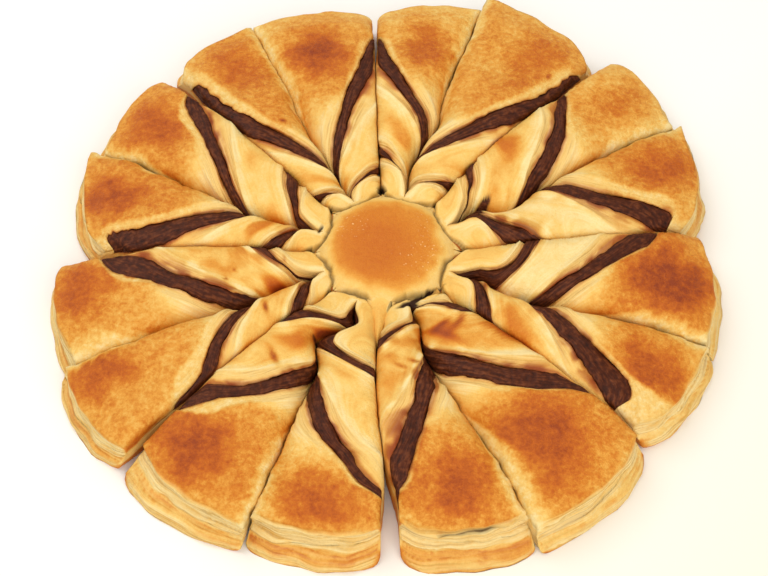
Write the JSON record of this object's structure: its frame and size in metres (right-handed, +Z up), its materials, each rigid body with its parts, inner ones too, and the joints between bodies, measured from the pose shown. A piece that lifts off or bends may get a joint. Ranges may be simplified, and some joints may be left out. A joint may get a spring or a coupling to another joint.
{
  "type": "puff pastry star",
  "caption": "Round pull-apart puff pastry: two sheets with chocolate spread, cut from the rim to a hub into twisted arms that fan out and meet in pairs",
  "frame": {"origin": "on the underside, at the middle of the hub", "axes": "+Z up out of the top, -Y towards the viewer, +X to the viewer's right"},
  "size_m": [0.2878, 0.2965, 0.024],
  "materials": {
    "pastry_lower": "baked, matt",
    "chocolate": "soft, satin",
    "pastry_upper": "baked, egg-washed"
  },
  "bodies": {
    "root": {"pastry_bottom": "pastry_lower", "chocolate_filling": "chocolate", "pastry_top": "pastry_upper"}
  },
  "joints": []
}
